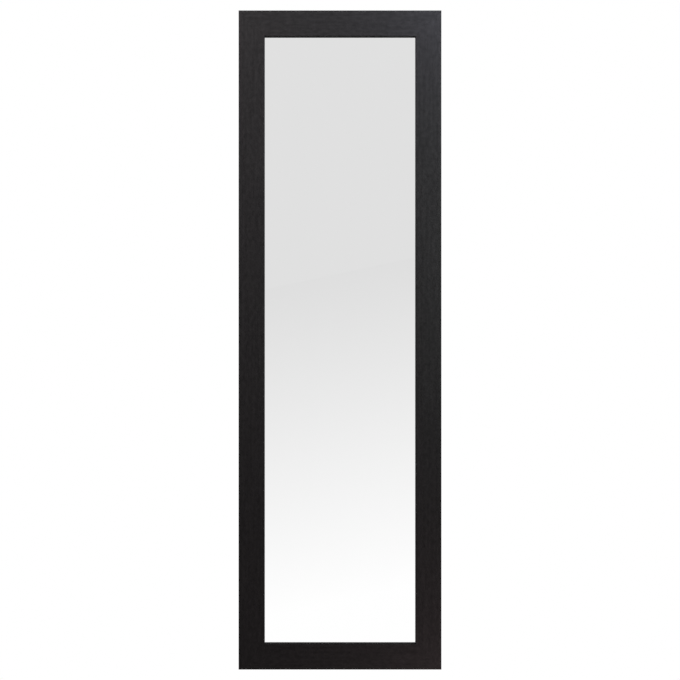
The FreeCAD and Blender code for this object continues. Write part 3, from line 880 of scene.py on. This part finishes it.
class WALL_MIRROR_OT_screws(bpy.types.Operator):
    """Make the screws with their cross recesses"""

    bl_idname = "wall_mirror.screws"
    bl_label = "Screws"

    def execute(self, context):
        sizes = context.scene.wall_mirror.hardware
        make_screws(sizes, zinc_material("zinc_plated_screw", sizes, shade=0.95))
        return {"FINISHED"}


class WALL_MIRROR_OT_bumpers(bpy.types.Operator):
    """Finish the rubber bumpers"""

    bl_idname = "wall_mirror.bumpers"
    bl_label = "Wall bumpers"

    def execute(self, context):
        dress(BUMPERS, rubber_material(context.scene.wall_mirror.hardware))
        return {"FINISHED"}


# Stage

def floor_material(sizes):
    """Pale floor that fades away towards its rim, keeps the shadow that falls on it, and is not seen
    from below."""
    dark_paper, light_paper = opaque((0.86, 0.86, 0.86)), opaque((0.9, 0.9, 0.9))
    camera_lift, mirror_lift = 0.4, 0.28
    fade_start, fade_end = sizes.floor_radius * 0.45, sizes.floor_radius * 0.95
    material, tree, shader = new_material("pale_floor")
    place = object_place(tree)
    paper = streaks(tree, place, length=0.3, width=0.3, detail=4.0)
    pale = mix_colour(tree, paper, dark_paper, light_paper)
    set_finish(tree, shader, pale, roughness=0.9, Specular_IOR_Level=0.0)
    light, mirrored = ray_kinds(tree)
    seen = maths(tree, "MAXIMUM", light["Is Camera Ray"], mirrored)
    to_camera = scaled(tree, light["Is Camera Ray"], camera_lift)
    glow = maths(tree, "MAXIMUM", to_camera, scaled(tree, mirrored, mirror_lift))
    lift = node(tree, "ShaderNodeEmission", {"Strength": glow}).outputs[0]
    lifted = node(tree, "ShaderNodeAddShader", {0: shader.outputs[0], 1: lift}).outputs[0]
    flat = node(tree, "ShaderNodeVectorMath", {0: place, 1: (1, 1, 0)}, operation="MULTIPLY").outputs[0]
    away = node(tree, "ShaderNodeVectorMath", {0: flat}, operation="LENGTH").outputs["Value"]
    rim = remap(tree, away, fade_start, fade_end, smooth=True)
    under = node(tree, "ShaderNodeNewGeometry").outputs["Backfacing"]
    gone = maths(tree, "MAXIMUM", maths(tree, "MULTIPLY", rim, seen), under)
    clear = node(tree, "ShaderNodeBsdfTransparent").outputs[0]
    shown = node(tree, "ShaderNodeMixShader", {0: gone, 1: lifted, 2: clear}).outputs[0]
    feed(tree, tree.nodes["Material Output"].inputs["Surface"], shown)
    return material


def make_floor(sizes):
    """A round floor below the hung mirror: circles of growing radius round one point."""
    circles, steps = 4, 96
    first_share = 0.25
    angles = np.linspace(0, 2 * math.pi, steps, endpoint=False)
    radius = np.linspace(first_share, 1.0, circles)[:, None] * sizes.floor_radius
    level = np.full((circles, steps), FOOT - sizes.floor_drop)
    points = np.stack([radius * np.cos(angles), radius * np.sin(angles), level], axis=-1)
    faces = [list(range(steps)), *ring_faces(circles, steps)[:, ::-1].tolist()]
    floor = new_surface("pale_floor", points, faces, [floor_material(sizes)])
    return floor


def point_at(thing, place, target):
    """Place a lamp or the camera and turn it towards a point."""
    thing.location = place
    thing.rotation_euler = (Vector(target) - Vector(place)).to_track_quat("-Z", "Y").to_euler()


def add_lamp(name, power, size, place, target, tint=WHITE):
    """A soft rectangular lamp."""
    lamp = bpy.data.lights.new(name, "AREA")
    lamp.color = tint
    lamp.shape = "RECTANGLE"
    lamp.size, lamp.size_y = size
    lamp.energy = power
    holder = new_object(name, lamp)
    point_at(holder, place, target)
    return holder


def add_object_lamps(sizes):
    """The lamps round the mirror: six in front of it for its face, and one behind it for its back."""
    return [
        add_lamp("top_lamp", sizes.top, size=(0.6, 0.3), tint=sizes.cool,
                 place=(0.0, -0.5, 0.6), target=(0.0, 0.0, 0.1)),
        add_lamp("top_left_lamp", sizes.top_left, size=(0.3, 0.3),
                 place=(-0.42, -0.4, 0.45), target=(-0.18, 0.0, 0.18)),
        add_lamp("corner_lamp", sizes.corner, size=(0.15, 0.15), tint=sizes.blue,
                 place=(0.32, -0.25, 0.32), target=(0.19, 0.0, 0.2)),
        add_lamp("right_lamp", sizes.right, size=(0.25, 0.9), tint=sizes.cool,
                 place=(0.6, -0.3, -0.1), target=(0.15, 0.0, -0.1)),
        add_lamp("left_lamp", sizes.left, size=(0.3, 0.9),
                 place=(-0.6, -0.5, -0.1), target=(-0.15, 0.0, -0.1)),
        add_lamp("low_lamp", sizes.low, size=(0.2, 0.2), tint=sizes.warm,
                 place=(0.36, -0.28, -1.22), target=(0.19, 0.0, -1.08)),
        add_lamp("back_lamp", sizes.back, size=(1.4, 1.4),
                 place=(-1.9, 1.9, 1.3), target=(0.0, 0.0, -0.45)),
    ]


def light_only(lamps, things, state):
    """Let lamps light these things alone (state INCLUDE), or everything but them (state EXCLUDE)."""
    group = bpy.data.collections.new("lamp_targets")
    for thing in things:
        group.objects.link(thing)
    for entry in group.collection_objects:
        entry.light_linking.link_state = state
    for lamp in lamps:
        lamp.light_linking.receiver_collection = group


def make_world(sizes):
    """Soft light from all round, more from above; the camera sees white, and mirrors and metal see pale
    surroundings, which light nothing themselves.

    With d the direction and f = d.z - tilt * d.x, the surroundings straight in front of the mirror are
    an even grey where f lies above the haze line. Below it they brighten to white, as a power a little
    over 1 of the way down. Further round, the surroundings are a studio that brightens smoothly with d.z.
    """
    # The haze starts a shade under the grey and ends a little past white
    haze_power = 1.13
    haze_top, haze_bottom = sizes.haze_grey * 0.985, 1.03
    # Where the studio brightens, as d.z, and where the front turns into the sides, as d.y
    studio_start, studio_end = -0.6, 0.7
    front_edge, side_edge = -0.975, -0.8
    ambient_low = sizes.ambient * (1 - sizes.ambient_rise)
    ambient_high = sizes.ambient * (1 + sizes.ambient_rise)
    world = bpy.data.worlds.new("pale_studio")
    bpy.context.scene.world = world
    world.use_nodes = True
    tree = world.node_tree
    direction = node(tree, "ShaderNodeTexCoord").outputs["Generated"]
    way = node(tree, "ShaderNodeSeparateXYZ", {0: direction}).outputs
    upward = (-sizes.haze_tilt, 0.0, 1.0)
    tilted = node(tree, "ShaderNodeVectorMath", {0: direction, 1: upward}, operation="DOT_PRODUCT")
    rise = tilted.outputs["Value"]
    way_down = remap(tree, rise, sizes.haze_line, sizes.haze_line - sizes.haze_depth)
    haze = spread(tree, maths(tree, "POWER", way_down, haze_power), haze_top, haze_bottom)
    above = maths(tree, "GREATER_THAN", rise, sizes.haze_line)
    ahead = mix_value(tree, above, haze, sizes.haze_grey)
    brightness = {"to_low": sizes.studio_low, "to_high": sizes.studio_high}
    studio = remap(tree, way["Z"], studio_start, studio_end, **brightness, smooth=True)
    aside = remap(tree, way["Y"], front_edge, side_edge, smooth=True)
    grey = mix_value(tree, aside, ahead, studio)
    light, mirrored = ray_kinds(tree)
    undimmed = maths(tree, "LESS_THAN", light["Diffuse Depth"], 1.0)
    seen = maths(tree, "MULTIPLY", maths(tree, "MAXIMUM", light["Is Camera Ray"], mirrored), undimmed)
    shown = mix_colour(tree, mirrored, opaque(WHITE), grey)
    backdrop = node(tree, "ShaderNodeBackground", {"Color": shown, "Strength": 1.0}).outputs[0]
    glow = tree.nodes["Background"]
    glow.inputs["Color"].default_value = opaque(WHITE)
    feed(tree, glow.inputs["Strength"], remap(tree, way["Z"], -1.0, 1.0, ambient_low, ambient_high))
    mixed = node(tree, "ShaderNodeMixShader", {0: seen, 1: glow.outputs[0], 2: backdrop}).outputs[0]
    feed(tree, tree.nodes["World Output"].inputs["Surface"], mixed)


def make_camera(sizes):
    """A level camera in front of the middle of the mirror, which takes in the view's width at the face."""
    lens = bpy.data.cameras.new("camera")
    lens.sensor_width = SENSOR_WIDTH_MM
    lens.lens = lens.sensor_width * sizes.camera_distance / sizes.view_width
    holder = new_object("camera", lens)
    place = (0, FRONT - sizes.camera_distance, MIDDLE[2])
    point_at(holder, place, MIDDLE)
    bpy.context.scene.camera = holder


class WALL_MIRROR_OT_stage(bpy.types.Operator):
    """Set up the camera, the pale floor and the soft light"""

    bl_idname = "wall_mirror.stage"
    bl_label = "Stage"

    def execute(self, context):
        sizes = context.scene.wall_mirror.stage
        make_camera(sizes)
        make_world(sizes)
        floor = make_floor(sizes)
        pane = context.scene.objects["silvered_pane"]
        light_only(add_object_lamps(sizes), [floor, pane], "EXCLUDE")
        ceiling = add_lamp("ceiling_lamp", sizes.ceiling, size=(2.0, 2.0),
                           place=(0.3, -0.4, 2.2), target=(0.0, 0.0, FOOT))
        light_only([ceiling], [floor], "INCLUDE")
        context.scene.view_settings.view_transform = "Standard"
        return {"FINISHED"}


OPERATORS = (
    WALL_MIRROR_OT_mouldings,
    WALL_MIRROR_OT_pane,
    WALL_MIRROR_OT_board,
    WALL_MIRROR_OT_fixings,
    WALL_MIRROR_OT_hangers,
    WALL_MIRROR_OT_screws,
    WALL_MIRROR_OT_bumpers,
    WALL_MIRROR_OT_stage,
)


# Panel and registration

class WALL_MIRROR_PT_panel(bpy.types.Panel):
    """Sizes, colours and the steps that make the mirror"""

    bl_idname = "WALL_MIRROR_PT_panel"
    bl_label = "Wall mirror"
    bl_space_type = "VIEW_3D"
    bl_region_type = "UI"
    bl_category = "Mirror"

    def draw(self, context):
        settings = context.scene.wall_mirror
        for operator in OPERATORS:
            self.layout.operator(operator.bl_idname)
        for group in (settings.moulding, settings.pane, settings.hardware, settings.stage):
            box = self.layout.box()
            for name in group.__annotations__:
                box.prop(group, name)


CLASSES = (
    MouldingSettings,
    PaneSettings,
    HardwareSettings,
    StageSettings,
    MirrorSettings,
    *OPERATORS,
    WALL_MIRROR_PT_panel,
)


def register():
    """Register the classes and hang the settings on the scene."""
    for item in CLASSES:
        bpy.utils.register_class(item)
    bpy.types.Scene.wall_mirror = PointerProperty(type=MirrorSettings)


def unregister():
    """Take the settings and the classes away again."""
    del bpy.types.Scene.wall_mirror
    for item in reversed(CLASSES):
        bpy.utils.unregister_class(item)


def main():
    """Make every piece in order, then the stage."""
    register()
    bpy.ops.wall_mirror.mouldings()
    bpy.ops.wall_mirror.pane()
    bpy.ops.wall_mirror.board()
    bpy.ops.wall_mirror.fixings()
    bpy.ops.wall_mirror.hangers()
    bpy.ops.wall_mirror.screws()
    bpy.ops.wall_mirror.bumpers()
    bpy.ops.wall_mirror.stage()


if __name__ == "__main__":
    main()
